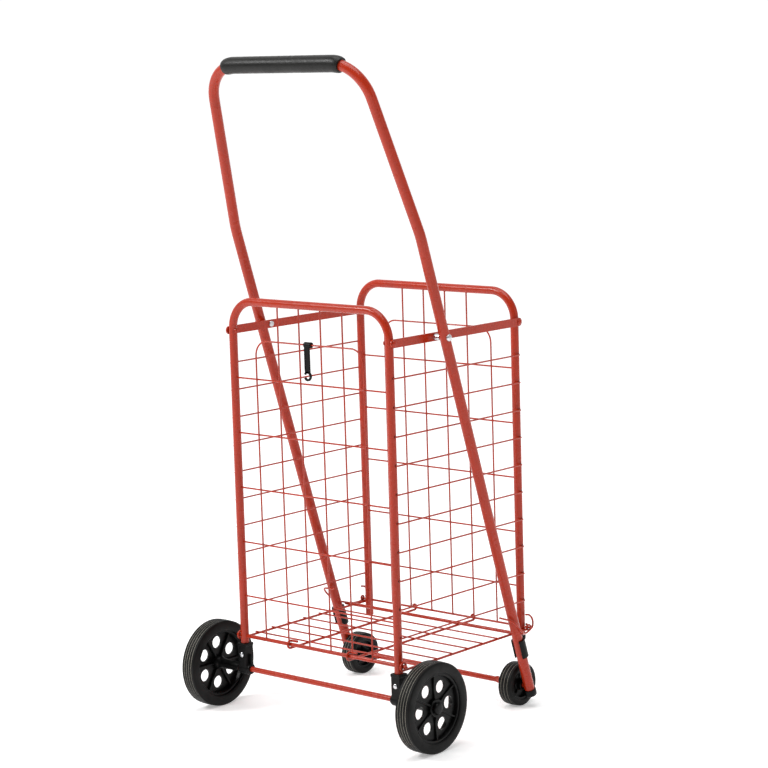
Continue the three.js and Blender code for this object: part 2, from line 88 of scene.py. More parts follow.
SMALL_Y = PIVOT_Y + AXLE_DOWN * math.sin(LEAN)
SIDES = (("left", -1), ("right", 1))


def hole_z(k):
    return FLOOR_Z + PITCH * (SIDE_WIRES + 1 - k)


# ---------- materials ----------
def material(name, base, spread, rough, rough_spread, grain, bump, wear, worn, metallic=0.0, coat=0.0,
             specular=0.5):
    """Base colour varies by spread over broad patches and goes to the worn colour in small scuffs;
    grain is the size of the bump in millimetres."""
    mat = bpy.data.materials.new(name)
    mat.use_nodes = True
    nodes, links = mat.node_tree.nodes, mat.node_tree.links
    shader = nodes["Principled BSDF"]
    shader.inputs["Metallic"].default_value = metallic
    shader.inputs["Coat Weight"].default_value = coat
    shader.inputs["Coat Roughness"].default_value = 0.12
    shader.inputs["Specular IOR Level"].default_value = specular
    coord = nodes.new("ShaderNodeTexCoord")

    def noise(scale, detail):
        node = nodes.new("ShaderNodeTexNoise")
        node.inputs["Scale"].default_value = scale
        node.inputs["Detail"].default_value = detail
        links.new(coord.outputs["Object"], node.inputs["Vector"])
        return node.outputs["Fac"]

    def remap(value, low, high, to_low, to_high):
        node = nodes.new("ShaderNodeMapRange")
        for key, number in (("From Min", low), ("From Max", high), ("To Min", to_low), ("To Max", to_high)):
            node.inputs[key].default_value = number
        links.new(value, node.inputs["Value"])
        return node.outputs["Result"]

    def mixed(factor, first, second):
        node = nodes.new("ShaderNodeMix")
        node.data_type = "RGBA"
        links.new(factor, node.inputs["Factor"])
        for socket, colour in ((node.inputs[6], first), (node.inputs[7], second)):
            if isinstance(colour, tuple):
                socket.default_value = (*colour, 1.0)
            else:
                links.new(colour, socket)
        return node.outputs[2]

    darker = tuple(c * (1 - spread) for c in base)
    lighter = tuple(min(1.0, c * (1 + spread)) for c in base)
    paint = mixed(remap(noise(18.0, 3.0), 0.3, 0.7, 0.0, 1.0), darker, lighter)
    scuff = remap(noise(140.0, 8.0), 0.60, 0.72, 0.0, wear)
    links.new(mixed(scuff, paint, worn), shader.inputs["Base Color"])

    rougher = nodes.new("ShaderNodeMath")
    rougher.operation = "MULTIPLY_ADD"
    rougher.inputs[1].default_value = 0.35
    links.new(scuff, rougher.inputs[0])
    patchy = remap(noise(60.0, 4.0), 0.3, 0.7, rough - rough_spread, rough + rough_spread)
    links.new(patchy, rougher.inputs[2])
    links.new(rougher.outputs[0], shader.inputs["Roughness"])

    relief = nodes.new("ShaderNodeBump")
    relief.inputs["Strength"].default_value = bump
    relief.inputs["Distance"].default_value = 0.0003
    links.new(noise(1000.0 / grain, 2.0), relief.inputs["Height"])
    links.new(relief.outputs["Normal"], shader.inputs["Normal"])
    return mat


RED = material("red_powder_coat", (0.405, 0.024, 0.004), 0.07, 0.27, 0.06, 1.3, 0.08,
               0.30, (0.26, 0.020, 0.006), coat=0.12, specular=0.32)
BLACK = material("black_moulding", (0.002, 0.002, 0.002), 0.20, 0.34, 0.08, 0.7, 0.16,
                 0.35, (0.006, 0.006, 0.0056), specular=0.15)
RUBBER = material("tyre_rubber", (0.003, 0.003, 0.0028), 0.20, 0.50, 0.09, 0.9, 0.20,
                  0.45, (0.009, 0.0088, 0.008), specular=0.16)
FOAM = material("grip_foam", (0.006, 0.0058, 0.0049), 0.20, 0.38, 0.08, 1.1, 0.30,
                0.40, (0.012, 0.0116, 0.0098), specular=0.25)
STEEL = material("bright_zinc", (0.62, 0.63, 0.65), 0.08, 0.28, 0.08, 0.5, 0.08,
                 0.35, (0.38, 0.37, 0.35), metallic=1.0)
# Pale colour for thin lines in the tyre grooves: a painted highlight of the tread ridges.
GROOVE_SHINE = material("groove_painted_highlight", (0.27, 0.255, 0.21), 0.30, 0.80, 0.10, 0.8, 0.15,
                0.60, (0.05, 0.05, 0.045))
# Dark red for the painted shade inside the holes in the legs.
HOLE_SHADE = material("hole_shadow", (0.030, 0.004, 0.003), 0.20, 0.80, 0.08, 0.8, 0.10,
                0.20, (0.050, 0.010, 0.008))


# ---------- mesh building ----------
def bend(corners, radii, steps):
    """Points of a bent wire: straight between its corners, with an arc at each inner corner."""
    corners = [Vector(c) for c in corners]
    points = [corners[0]]
    for i in range(1, len(corners) - 1):
        radius = radii[i - 1] if isinstance(radii, (list, tuple)) else radii
        back = (corners[i - 1] - corners[i]).normalized()
        on = (corners[i + 1] - corners[i]).normalized()
        half = back.angle(on) / 2
        reach = radius / math.tan(half)
        centre = corners[i] + (back + on).normalized() * (radius / math.sin(half))
        start = corners[i] + back * reach - centre
        end = corners[i] + on * reach - centre
        axis, turn = start.cross(end), start.angle(end)
        for s in range(steps + 1):
            points.append(centre + Matrix.Rotation(turn * s / steps, 3, axis) @ start)
    points.append(corners[-1])
    return points


def curve(points, steps):
    """A smooth curve through the points."""
    points = [Vector(p) for p in points]
    ends = [points[0] * 2 - points[1], *points, points[-1] * 2 - points[-2]]
    out = []
    for i in range(1, len(ends) - 2):
        a, b, c, d = ends[i - 1:i + 3]
        for s in range(steps):
            t = s / steps
            out.append(0.5 * (2 * b + (c - a) * t + (2 * a - 5 * b + 4 * c - d) * t * t
                              + (3 * b - 3 * c + d - a) * t ** 3))
    out.append(points[-1])
    return out


def arc(x, y, z, radius, start, end, steps):
    """Points about an axis along X, with angles from +Y towards +Z."""
    angles = [math.radians(start + (end - start) * i / steps) for i in range(steps + 1)]
    return [Vector((x, y + radius * math.cos(a), z + radius * math.sin(a))) for a in angles]


class Shape:
    """Vertices and faces of one piece, in millimetres."""

    def __init__(self):
        self.verts = []
        self.faces = []

    def skin(self, rings, closed=False):
        first, n, count = len(self.verts), len(rings[0]), len(rings)
        for ring in rings:
            self.verts.extend(ring)
        for i in range(count if closed else count - 1):
            a, b = first + i * n, first + (i + 1) % count * n
            for j in range(n):
                k = (j + 1) % n
                self.faces.append((a + j, a + k, b + k, b + j))
        if not closed:
            self.faces.append(tuple(range(first + n - 1, first - 1, -1)))
            self.faces.append(tuple(range(first + (count - 1) * n, first + count * n)))
        return self

    def sweep(self, path, radius, sides=12, round_ends=False, bump=None):
        """A round wire along a path. bump(i) scales the radius at point i."""
        points = [Vector(p) for p in path]
        tangents = []
        for i, p in enumerate(points):
            before = (p - points[i - 1]).normalized() if i else Vector()
            after = (points[i + 1] - p).normalized() if i + 1 < len(points) else Vector()
            tangents.append((before + after).normalized())
        sizes = [radius * (bump(i) if bump else 1.0) for i in range(len(points))]
        if round_ends:
            rise = [(0.87, 0.5), (0.5, 0.87)]
            for scale, out in rise:
                points.insert(0, Vector(path[0]) - tangents[0] * radius * out)
                points.append(Vector(path[-1]) + tangents[-1] * radius * out)
                sizes.insert(0, radius * scale)
                sizes.append(radius * scale)
            tangents = [tangents[0]] * 2 + tangents + [tangents[-1]] * 2
        normal = tangents[0].orthogonal()
        rings = []
        for p, t, size in zip(points, tangents, sizes):
            normal = (normal - t * normal.dot(t)).normalized()
            across = t.cross(normal)
            angles = [2 * math.pi * j / sides for j in range(sides)]
            rings.append([p + (normal * math.cos(a) + across * math.sin(a)) * size for a in angles])
        return self.skin(rings)

    def bar(self, x0, x1, y, z, radius, sides=16, round_ends=False):
        return self.sweep([(x0, y, z), (x1, y, z)], radius, sides, round_ends)

    def lathe(self, profile, y, z, sides=48, closed=False):
        """A turned piece about an axis along X through (y, z); profile holds (x, radius) pairs."""
        rings = []
        for x, r in profile:
            angles = [2 * math.pi * (j + 0.5) / sides for j in range(sides)]
            rings.append([Vector((x, y + r * math.cos(a), z + r * math.sin(a))) for a in angles])
        return self.skin(rings, closed)

    def plate(self, loops, low, high, place):
        """A flat plate: loops[0] is its outline and the others are holes; place(u, v, w) is a point."""
        first = len(self.verts)
        flat = [p for loop in loops for p in loop]
        total = len(flat)
        for w in (low, high):
            self.verts.extend(Vector(place(u, v, w)) for u, v in flat)
        for a, b, c in tessellate_polygon([[Vector((u, v, 0)) for u, v in loop] for loop in loops]):
            self.faces.append((first + a, first + b, first + c))
            self.faces.append((first + total + c, first + total + b, first + total + a))
        start = first
        for loop in loops:
            n = len(loop)
            for i in range(n):
                j = (i + 1) % n
                self.faces.append((start + i, start + j, start + total + j, start + total + i))
            start += n
        return self

    def box(self, x0, x1, y0, y1, z0, z1):
        outline = [(x0, y0), (x1, y0), (x1, y1), (x0, y1)]
        return self.skin([[Vector((x, y, z)) for x, y in outline] for z in (z0, z1)])

    def added(self, other):
        first = len(self.verts)
        self.verts += other.verts
        self.faces += [tuple(first + v for v in face) for face in other.faces]
        return self

    def moved(self, matrix):
        self.verts = [matrix @ v for v in self.verts]
        return self

    def mirrored(self):
        self.verts = [Vector((-v.x, v.y, v.z)) for v in self.verts]
        return self


def piece(name, shape, mat, body, slot, nodes=(), bevel=0.0, sharp=35.0):
    mesh = bpy.data.meshes.new(name)
    mesh.from_pydata([v * MM for v in shape.verts], [], shape.faces)
    work = bmesh.new()
    work.from_mesh(mesh)
    bmesh.ops.recalc_face_normals(work, faces=work.faces)
    work.to_mesh(mesh)
    work.free()
    mesh.shade_smooth()
    mesh.set_sharp_from_angle(angle=math.radians(sharp))
    mesh.materials.append(mat)
    obj = bpy.data.objects.new(name, mesh)
    bpy.context.scene.collection.objects.link(obj)
    if bevel:
        modifier = obj.modifiers.new("bevel", "BEVEL")
        modifier.width = bevel * MM
        modifier.segments = 2
        modifier.limit_method = "ANGLE"
        modifier.angle_limit = math.radians(sharp)
        modifier.harden_normals = True
    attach(obj, body)
    if nodes:
        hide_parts(*nodes)
    return obj


def pair(stem, build, mat, body, slot, node=None, right_turn=None, **looks):
    """A right-hand piece and its mirror image. body may have a {} for left or right.
    right_turn moves only the right-hand one."""
    for hand, side in SIDES:
        shape = build()
        if side < 0:
            shape.mirrored()
        elif right_turn:
            shape.moved(right_turn)
        nodes = (f"{node}_{hand}",) if node else ()
        piece(f"{stem}_{hand}", shape, mat, body.format(hand), slot, nodes, **looks)


# ---------- frames and their panels ----------
UPRIGHTS = (-61.5, -20.5, 20.5, 61.5)
U_X = 102.5
U_Z = 548.5
REAR_REACH = 163.0
FRONT_REACH = 166.0
SOLE_Z = {"left": 88.0, "right": 92.0}
PLUG_HEAD = {"left": 1.0, "right": 9.0}


def frame_tube(y, left_foot, right_foot):
    corners = [(-LEG_X, y, left_foot), (-LEG_X, y, TOP_Z), (LEG_X, y, TOP_Z), (LEG_X, y, right_foot)]
    return Shape().sweep(bend(corners, FRAME_BEND, 16), LEG_R, 28)


def panel(y, inward, low_r, low_reach):
    shape = Shape().bar(-low_reach, low_reach, y, FLOOR_Z, low_r, 16, round_ends=True)
    reach = LEG_X - LEG_R + 0.6
    for k in (1.5, 3.5, 5.5, 7.5, 9.5):
        shape.bar(-reach, reach, y, hole_z(k), WIRE_R, 10)
    inner, outer = y + inward * LAP, y - inward * LAP
    low = FLOOR_Z - 0.5
    for x in UPRIGHTS:
        shape.sweep([(x, inner, low), (x, inner, TOP_Z - LEG_R + 0.4)], WIRE_R, 10)
    arch = [(-U_X, outer, low), (-U_X, outer, U_Z), (U_X, outer, U_Z), (U_X, outer, low)]
    return shape.sweep(bend(arch, 22.0, 10), WIRE_R, 10)


def leg_hole_shade(y):
    """Painted shade: dark discs round the side wires where they enter the holes in the legs."""
    shape = Shape()
    for _, side in SIDES:
        for k in range(1, SIDE_WIRES + 1):
            x = side * (LEG_X + LEG_R)
            shape.bar(x - side * 0.9, x + side * 0.08, y, hole_z(k), 2.0, 14)
    return shape


piece("rear_tube", frame_tube(REAR_Y, 76.0, 76.0), RED, "rear_frame", "red_paint", ("rear_frame_tube",))
piece("rear_panel_wires", panel(REAR_Y, 1, CROSS_R, REAR_REACH - 1.5), RED, "rear_frame", "red_paint",
      ("rear_panel_grid",))
# Painted shade in the holes where the side wires enter the rear legs.
piece("rear_leg_hole_shade", leg_hole_shade(REAR_Y), HOLE_SHADE, "rear_frame", "red_paint")
front_feet = [SOLE_Z[hand] + PLUG_HEAD[hand] for hand, _ in SIDES]
piece("front_tube", frame_tube(FRONT_Y, *front_feet), RED, "front_frame", "red_paint", ("front_frame_tube",))
piece("front_panel_wires", panel(FRONT_Y, -1, LOW_R, FRONT_REACH - 1.0), RED, "front_frame", "red_paint",
      ("front_panel_grid",))
# Painted shade in the holes where the side wires enter the front legs.
piece("front_leg_hole_shade", leg_hole_shade(FRONT_Y), HOLE_SHADE, "front_frame", "red_paint")


# ---------- rear axle brackets, rivets and foot plugs ----------
def bracket():
    shape = Shape()
    half = 8.0
    x0, x1 = LEG_X - half, LEG_X + half
    shape.box(x0, x1, REAR_Y - half, REAR_Y + half, BIG_R, 102.0)
    lip = 8.6
    shape.box(LEG_X - lip, LEG_X + lip, REAR_Y - lip, REAR_Y + lip, 97.6, 102.0)
    shape.box(x0 - 4.5, x0 + 1, REAR_Y - 1.4, REAR_Y + 1.4, BIG_R, 86.0)
    return shape


def bracket_boss():
    x = LEG_X
    return Shape().lathe([
        (x - 12, 4.3), (x - 12, 6.6), (x - 11.4, 7.3), (x - 9.8, 7.6), (x - 9.2, 8.5), (x + 7.2, 8.5),
        (x + 8, 7.8), (x + 8, 4.3),
    ], REAR_Y, BIG_R, 40, closed=True)


def rivet():
    profile = [(0.0, 3.5), (0.5, 3.6), (1.1, 3.1), (1.5, 2.2), (1.7, 1.0)]
    sides = 24
    rings = []
    for out, r in profile:
        angles = [2 * math.pi * j / sides for j in range(sides)]
        rings.append([
            Vector((LEG_X + r * math.cos(a), REAR_Y - 8.0 - out, 85.0 + r * math.sin(a))) for a in angles])
    return Shape().skin(rings)


def upright_turned(x, y, profile, sides=32):
    """A turned piece about a vertical axis; profile holds (z, radius) pairs."""
    angles = [2 * math.pi * j / sides for j in range(sides)]
    return Shape().skin([
        [Vector((x + r * math.cos(a), y + r * math.sin(a), z)) for a in angles] for z, r in profile])


def foot_plug(x, sole, head):
    """The right plug stands out below its leg, and the left one is pushed right in."""
    profile = [(0.0, 4.4), (0.3, 5.2), (1.0, 5.6)]
    if head > 2:
        profile = [(0.0, 4.0), (0.4, 5.2), (1.4, 6.1), (2.8, 6.55),
                   (6.4, 6.55), (7.6, 6.4), (8.5, 5.9), (9.0, 5.2)]
    return upright_turned(x, FRONT_Y, [(sole + up, r) for up, r in profile])


pair("bracket", bracket, BLACK, "rear_frame", "black_plastic", "axle_bracket", bevel=0.9)
pair("bracket_boss", bracket_boss, BLACK, "rear_frame", "black_plastic")
pair("rivet", rivet, STEEL, "rear_frame", "bright_steel", "bracket_rivet")
for hand, side in SIDES:
    plug = foot_plug(side * LEG_X, SOLE_Z[hand], PLUG_HEAD[hand])
    piece(f"foot_plug_cap_{hand}", plug, BLACK, "front_frame", "black_plastic", (f"foot_plug_{hand}",))


def crimped_axle(half, collar_x, y, z, turn):
    """A bar squeezed flat just inside each wheel."""
    stations = []
    for side in (-1, 1):
        c = side * collar_x
        stations += [(c - 4.5, 1.0, 1.0), (c - 1.6, 0.66, 1.5), (c + 1.6, 0.66, 1.5), (c + 4.5, 1.0, 1.0)]
    stations = [(-half, 0.86, 0.86), (-half + 0.6, 1, 1), *stations, (half - 0.6, 1, 1), (half, 0.86, 0.86)]
    angles = [2 * math.pi * j / 20 for j in range(20)]
    rings = []
    for x, deep, tall in stations:
        ring = []
        for a in angles:
            p, q = AXLE_R * deep * math.cos(a), AXLE_R * tall * math.sin(a)
            ring.append(Vector((x, y + p * math.cos(turn) - q * math.sin(turn),
                                z + p * math.sin(turn) + q * math.cos(turn))))
        rings.append(ring)
    return Shape().skin(rings)


piece("rear_axle_bar", Shape().bar(-BIG_X - 6.5, BIG_X + 6.5, REAR_Y, BIG_R, AXLE_R, 24), RED,
      "rear_frame", "red_paint", ("rear_axle",))


# ---------- wheels ----------
def grooved_tyre(x, half, outer, inner, grooves, groove, crown):
    """Tyre section: flat sides with rounded shoulders, and grooves cut round the tread."""
    def tread(u):
        return outer - crown * (u / half) ** 2

    shoulder = half - SHOULDER
    top = []
    pitch = 2 * shoulder * TREAD_SHARE / grooves
    for i in range(grooves):
        u = (i - (grooves - 1) / 2) * pitch
        top += [(u - groove, tread(u)), (u - groove * 0.45, tread(u) - groove * 1.3),
                (u + groove * 0.45, tread(u) - groove * 1.3), (u + groove, tread(u))]
    profile = [
        (-shoulder, inner), (-half + 0.5, inner + 0.8), (-half, inner + 2.2), (-half, outer - 3.6),
        (-half + 0.35, outer - 2.1), (-half + 1.1, outer - 0.9), (-shoulder - 0.2, tread(shoulder)),
        *top,
        (shoulder + 0.2, tread(shoulder)), (half - 1.1, outer - 0.9), (half - 0.35, outer - 2.1),
        (half, outer - 3.6), (half, inner + 2.2), (half - 0.5, inner + 0.8), (shoulder, inner),
    ]
    return [(x + u, r) for u, r in profile]


def big_tyre():
    section = grooved_tyre(BIG_TYRE_X, BIG_TYRE_HALF, BIG_R, 48.6, BIG_GROOVES, 0.55, BIG_CROWN)
    return Shape().lathe(section, REAR_Y, BIG_R, 96, closed=True)


def groove_lines(x, half, outer, y, z, grooves, crown, sides):
    """Thin pale lines along the tread grooves: painted highlights of the lit tread ridges."""
    shape = Shape()
    pitch = 2 * (half - SHOULDER) * TREAD_SHARE / grooves
    for i in range(grooves):
        u = (i - (grooves - 1) / 2) * pitch
        r = outer - crown * (u / half) ** 2
        shape.lathe([(x + u - 0.36, r - 1.6), (x + u - 0.36, r - 0.30), (x + u + 0.36, r - 0.30),
                     (x + u + 0.36, r - 1.6)], y, z, sides, closed=True)
    return shape


def circle(u, v, radius, sides, turn=0.0):
    return [(u + radius * math.cos(turn + 2 * math.pi * i / sides),
             v + radius * math.sin(turn + 2 * math.pi * i / sides)) for i in range(sides)]


SPOKES = 6
HOLE_AT = 30.0


def spin(angle, y, z):
    """A turn by angle about an axis along X through (y, z)."""
    there = Matrix.Translation((0, y, z))
    return there @ Matrix.Rotation(angle, 4, "X") @ there.inverted()


def big_groove_shine():
    return groove_lines(BIG_TYRE_X, BIG_TYRE_HALF, BIG_R, REAR_Y, BIG_R, BIG_GROOVES, BIG_CROWN, 96)


def big_hub():
    shape = Shape()
    x = BIG_X
    shape.lathe([(x - 10.6, 45.6), (x - 10.6, 48.3), (x - 10.2, 48.8), (x + 6.2, 48.8), (x + 6.6, 48.3),
                 (x + 6.6, 45.8), (x + 5.9, 45.0), (x + 1.7, 44.2), (x - 1.7, 44.2), (x - 9.9, 45.0)],
                REAR_Y, BIG_R, 96, closed=True)
    holes = []
    for i in range(SPOKES):
        a = (i + 0.5) * 2 * math.pi / SPOKES
        holes.append(circle(HOLE_AT * math.cos(a), HOLE_AT * math.sin(a), 8.9, 28))
    shape.plate([circle(0, 0, 45.6, 96), *holes], x - 1.7, x + 1.7,
                lambda u, v, w: (w, REAR_Y + u, BIG_R + v))
    shape.lathe([(x - 50, 4.6), (x - 50, 6.2), (x - 49.4, 6.8), (x - 13, 7.3), (x - 10, 8.6),
                 (x - 8, 10.4), (x - 1, 11.6), (x + 5.6, 12.6), (x + 6.6, 12.0), (x + 6.6, 9.6),
                 (x + 5.0, 9.0), (x + 5.0, 4.6)], REAR_Y, BIG_R, 48, closed=True)
    return shape


def hub_ribs():
    """Radial ribs on both faces of the web, between the holes."""
    shape = Shape()
    for i in range(SPOKES):
        rib = Shape()
        outline = [(10.8, -5.4), (46.0, -5.2), (46.0, 5.2), (24.0, 3.6), (10.8, 5.6)]
        rib.plate([outline], -1.15, 1.15, lambda u, v, w: (BIG_X + v, REAR_Y + w, BIG_R + u))
        shape.added(rib.moved(spin(i * 2 * math.pi / SPOKES + math.pi / 2, REAR_Y, BIG_R)))
    return shape


def axle_cap():
    x = BIG_X
    return Shape().lathe([(x + 7.4, 1.0), (x + 7.4, 8.3), (x + 9.6, 8.3), (x + 10.8, 7.5), (x + 11.5, 5.6),
                          (x + 11.7, 3.0), (x + 11.7, 1.0)], REAR_Y, BIG_R, 40)


pair("big_tyre", big_tyre, RUBBER, "rear_wheel_{}", "tyre", "rear_tyre", sharp=30.0)
# Painted highlight lines along the grooves of the big tyres.
pair("big_tyre_shine", big_groove_shine, GROOVE_SHINE, "rear_wheel_{}", "tyre")
HUB_TURN = spin(math.radians(-28), REAR_Y, BIG_R)
pair("big_hub", big_hub, BLACK, "rear_wheel_{}", "black_plastic", "rear_hub", HUB_TURN, bevel=0.45)
pair("big_hub_ribs", hub_ribs, BLACK, "rear_wheel_{}", "black_plastic", right_turn=HUB_TURN, bevel=0.5)
pair("axle_cap", axle_cap, BLACK, "rear_wheel_{}", "black_plastic", "rear_axle_cap")


def small_tyre():
    section = grooved_tyre(SMALL_X, SMALL_TYRE_HALF, SMALL_R, 21.8, SMALL_GROOVES, 0.6, SMALL_CROWN)
    return Shape().lathe(section, SMALL_Y, SMALL_R, 72, closed=True)


def small_groove_shine():
    return groove_lines(SMALL_X, SMALL_TYRE_HALF, SMALL_R, SMALL_Y, SMALL_R, SMALL_GROOVES, SMALL_CROWN, 72)


def small_hub():
    x = SMALL_X
    return Shape().lathe([
        (x - 30, 4.6), (x - 30, 6.0), (x - 29.5, 6.5), (x - 12.4, 6.7), (x - 12.4, 7.2),
        (x - 11.7, 7.9), (x - 5, 8.4), (x - 4.2, 9.4), (x - 4.2, 18.2), (x - 7.4, 18.8),
        (x - 9.6, 19.2), (x - 9.6, 21.6), (x + 9.6, 21.6), (x + 9.6, 19.2), (x + 7.4, 18.8),
        (x + 4.2, 18.2), (x + 4.2, 9.4), (x + 5, 8.4), (x + 11.4, 7.9), (x + 12.2, 7.2), (x + 12.2, 4.6),
    ], SMALL_Y, SMALL_R, 48, closed=True)


def small_ribs():
    shape = Shape()
    for i in range(5):
        for out in (-1, 1):
            rib = Shape().box(SMALL_X + out * 4.0, SMALL_X + out * 6.0, SMALL_Y + 7.6, SMALL_Y + 19.4,
                              SMALL_R - 0.9, SMALL_R + 0.9)
            shape.added(rib.moved(spin(i * 2 * math.pi / 5 + 0.3, SMALL_Y, SMALL_R)))
    return shape


pair("small_tyre", small_tyre, RUBBER, "front_wheel_{}", "tyre", "front_tyre", sharp=30.0)
# Painted highlight lines along the grooves of the small tyres.
pair("small_tyre_shine", small_groove_shine, GROOVE_SHINE, "front_wheel_{}", "tyre")
pair("small_hub", small_hub, BLACK, "front_wheel_{}", "black_plastic", "front_hub")
pair("small_hub_ribs", small_ribs, BLACK, "front_wheel_{}", "black_plastic", bevel=0.3)


# ---------- top links, pins and handle pivots ----------
def link():
    outline = [(DEPTH + 6 * math.cos(a), 6 * math.sin(a))
               for a in (math.radians(-90 + 180 * i / 12) for i in range(13))]
    outline += [(6 * math.cos(a), 6 * math.sin(a))
                for a in (math.radians(90 + 180 * i / 12) for i in range(13))]
    return Shape().plate([outline], LINK_X, LINK_X + 2.5, lambda u, v, w: (w, REAR_Y + u, LINK_Z + v))


PIN_OUT = LINK_X + 2.9
PIN_IN = LEG_X - LEG_R - 2


def pin(y):
    return lambda: Shape().lathe([
        (PIN_IN, 2.4), (PIN_IN + 0.3, 3.6), (PIN_IN + 1.6, 3.9), (PIN_IN + 1.61, 2.5), (PIN_OUT - 0.5, 2.5),
        (PIN_OUT - 0.35, 4.5), (PIN_OUT + 0.5, 4.4), (PIN_OUT + 1.4, 3.6), (PIN_OUT + 2.0, 2.3),
        (PIN_OUT + 2.2, 0.9),
    ], y, LINK_Z, 28)


def pivot():
    near, head = HANDLE_X - HANDLE_R, HANDLE_X + HANDLE_R
    return Shape().lathe([
        (LINK_X - 2, 2.0), (LINK_X - 1.9, 4.0), (LINK_X - 0.5, 4.4), (LINK_X - 0.4, 2.5),
        (PIN_OUT - 0.3, 2.5), (PIN_OUT - 0.29, 4.3), (near - 0.2, 4.3), (near - 0.19, 2.5),
        (head - 0.3, 2.5), (head - 0.1, 4.9), (head + 0.7, 4.8), (head + 1.5, 4.1), (head + 2.1, 2.7),
        (head + 2.4, 1.0),
    ], PIVOT_Y, LINK_Z, 28)


pair("link_bar", link, RED, "top_links", "red_paint", "top_link", bevel=0.4)
pair("rear_pin", pin(REAR_Y), RED, "rear_frame", "red_paint", "rear_link_pin")
pair("front_pin", pin(FRONT_Y), RED, "front_frame", "red_paint", "front_link_pin")
pair("pivot_pin", pivot, STEEL, "top_links", "bright_steel", "handle_pivot")

# ---------- side wires ----------
for k in range(1, SIDE_WIRES + 1):
    z = hole_z(k)
    wires = Shape()
    for _, side in SIDES:
        inside, outside = side * (LEG_X + 1), side * WIRE_X
        corners = [(inside, REAR_Y, z), (outside, REAR_Y, z), (outside, FRONT_Y, z), (inside, FRONT_Y, z)]
        wires.sweep(bend(corners, 2.5, 5), WIRE_R, 10)
    piece(f"side_wires_{k:02d}_pair", wires, RED, f"side_wires_{k:02d}", "red_paint",
          (f"side_wire_left_{k:02d}", f"side_wire_right_{k:02d}"))

# ---------- floor panel ----------
EDGE_X = LEG_X + LEG_R + EDGE_R + 0.75
INNER_X = 57.0
SPACING = DEPTH / 8
EYE_R = CROSS_R + EDGE_R + 0.8
HOOK_R = LOW_R + EDGE_R + 0.8
EDGE_Z = FLOOR_Z - EYE_R
ROD_Y = REAR_Y + 7 * SPACING
ROD_END = 166.0


def floor_panel():
    shape = Shape()
    for _, side in SIDES:
        edge, inner = side * EDGE_X, side * INNER_X
        eye = arc(edge, REAR_Y, FLOOR_Z, EYE_R, 0, 270, 18)
        clasp = arc(edge, FRONT_Y, FLOOR_Z, HOOK_R, -90, 60, 12)
        shape.sweep([*eye, *clasp], EDGE_R, 12, round_ends=True)
        loop = arc(inner, REAR_Y, FLOOR_Z, EYE_R, 60, 270, 14)
        hook = arc(inner, FRONT_Y, FLOOR_Z, HOOK_R, -90, 120, 14)
        tail = [Vector((inner + 12, REAR_Y + 1.6, FLOOR_Z + EYE_R + 0.1)),
                Vector((inner + 5, REAR_Y + 1.9, FLOOR_Z + EYE_R + 0.1)),
                Vector((inner + 1.6, REAR_Y + 2.3, FLOOR_Z + EYE_R - 0.2))]
        shape.sweep([*tail, *loop, *hook], EDGE_R, 12, round_ends=True)
    cross_z = EDGE_Z + EDGE_R + WIRE_R - 0.4
    for i in range(1, 7):
        shape.bar(-EDGE_X - 2.5, EDGE_X + 2.5, REAR_Y + i * SPACING, cross_z, WIRE_R, 10, round_ends=True)
    return shape.bar(-ROD_END, ROD_END, ROD_Y, EDGE_Z + EDGE_R + ROD_R - 0.5, ROD_R, 16, round_ends=True)


piece("floor_wires", floor_panel(), RED, "bottom_panel", "red_paint", ("bottom_panel_grid",))

# ---------- handle ----------
ON_HANDLE = Matrix.Translation((0, PIVOT_Y, LINK_Z)) @ Matrix.Rotation(LEAN, 4, "X")
LEG_END = AXLE_DOWN + 12
TOP_X = HANDLE_X - (HANDLE_TOP - KINK_UP) * math.tan(TAPER)
HANDLE_PATH = bend([
    (-HANDLE_X, 0, -LEG_END), (-HANDLE_X, 0, KINK_UP), (-TOP_X, 0, HANDLE_TOP),
    (TOP_X, 0, HANDLE_TOP), (HANDLE_X, 0, KINK_UP), (HANDLE_X, 0, -LEG_END),
], [150.0, 58.0, 58.0, 150.0], 14)
piece("handle_bar", Shape().sweep(HANDLE_PATH, HANDLE_R, 32).moved(ON_HANDLE), RED, "handle", "red_paint",
      ("handle_tube",))


def grip():
    """Foam sleeve that follows the tube's bends, with rolled ends."""
    count = 64
    xs = [-GRIP_HALF + 2 * GRIP_HALF * i / count for i in range(count + 1)]

    def height(x):
        start = TOP_X - 58.0 * math.tan((math.pi / 2 - TAPER) / 2)
        past = max(0.0, abs(x) - start)
        return HANDLE_TOP - (58.0 - math.sqrt(58.0 ** 2 - past ** 2))

    def size(i):
        end = min(i, count - i)
        return (0.90, 0.975, 0.997)[end] if end < 3 else 1.0 + 0.004 * math.sin(i * 1.9)

    return Shape().sweep([(x, 0, height(x)) for x in xs], 11.8, 36, bump=size).moved(ON_HANDLE)


handle_grip = piece("foam_grip", grip(), FOAM, "handle", "foam", ("handle_grip",))


def seat_clip():
    """Black sleeve snapped on the handle leg, open at the back."""
    start, end = math.radians(-90 + 46), math.radians(270 - 46)
    angles = [start + (end - start) * i / 40 for i in range(41)]
    outline = [(10.1 * math.cos(a), 10.1 * math.sin(a)) for a in angles]
    outline += [(7.75 * math.cos(a), 7.75 * math.sin(a)) for a in reversed(angles)]
    shape = Shape().plate([outline], -505.3, -477.3, lambda u, v, w: (HANDLE_X + u, v, w))
    return shape.moved(ON_HANDLE)


def end_cap():
    return upright_turned(HANDLE_X, 0, [
        (-LEG_END - 4.0, 6.2), (-LEG_END - 3.7, 7.6), (-LEG_END - 2.8, 8.6), (-LEG_END - 1.4, 9.1),
        (-LEG_END + 5.8, 9.1), (-LEG_END + 6.7, 8.8), (-LEG_END + 7.0, 7.9)], 36).moved(ON_HANDLE)


